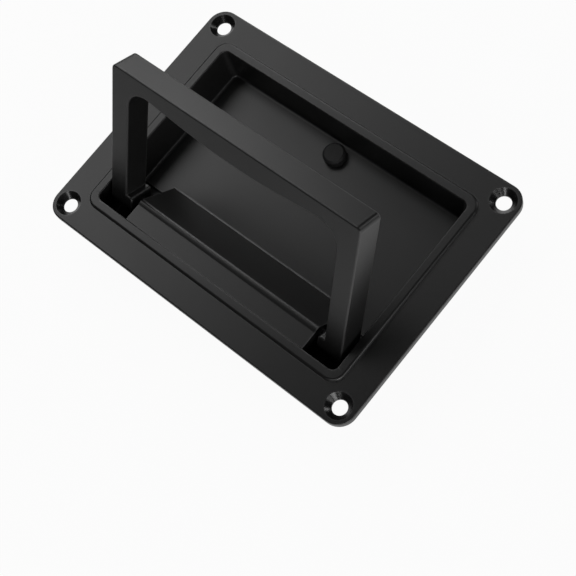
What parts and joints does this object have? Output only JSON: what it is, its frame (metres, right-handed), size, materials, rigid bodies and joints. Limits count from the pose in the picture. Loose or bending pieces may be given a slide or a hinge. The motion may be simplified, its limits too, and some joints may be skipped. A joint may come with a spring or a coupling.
{
  "type": "recessed pull handle",
  "caption": "Recessed pull handle: a flanged tray with a raised rim and a knuckle bar that carries a fold-down bail, fixed by countersunk screws.",
  "frame": {"origin": "centre of the flange's back plane, which lies on the panel", "axes": "+X along the flange and the hinge, +Y from the hinge towards the folded crossbar, +Z out of the panel"},
  "size_m": [0.15, 0.1062, 0.0706],
  "materials": {
    "black_casting": "satin black powder coat on a zinc casting",
    "black_bail": "satin black powder coat on a zinc casting",
    "pin_steel": "blackened ground steel",
    "bumper_rubber": "moulded black rubber"
  },
  "bodies": {
    "housing": {"housing": "black_casting", "pivot_pin": "pin_steel", "bumper": "bumper_rubber"},
    "bail": {"bail_handle": "black_bail"}
  },
  "joints": [
    {"name": "bail_pivot", "type": "hinge", "parent": "housing", "child": "bail", "pos_m": [0, -0.0286, -0.0019], "axis": [1, 0, 0], "range_deg": [-62.3, 27.7]}
  ]
}
